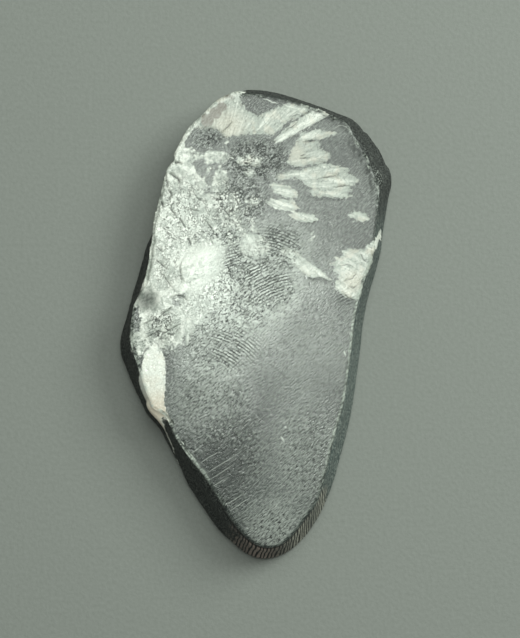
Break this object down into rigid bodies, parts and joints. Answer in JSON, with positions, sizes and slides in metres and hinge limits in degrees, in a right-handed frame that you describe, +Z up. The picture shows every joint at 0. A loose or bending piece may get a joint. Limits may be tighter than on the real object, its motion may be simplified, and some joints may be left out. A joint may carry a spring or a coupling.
{
  "type": "chrysanthemum stone slab",
  "caption": "Flat polished slab of dark limestone with white radiating crystal sprays, tapering to a rounded point, with flared sawn sides.",
  "frame": {"origin": "middle of the outline, on the flat underside that the slab lies on", "axes": "+Z up through the polished face, +Y along the slab towards its broad end, +X to the right seen from above"},
  "size_m": [0.043, 0.0742, 0.007],
  "materials": {
    "stone": "polished face with a soft haze, matt sawn sides"
  },
  "bodies": {
    "root": {"stone": "stone"}
  },
  "joints": []
}
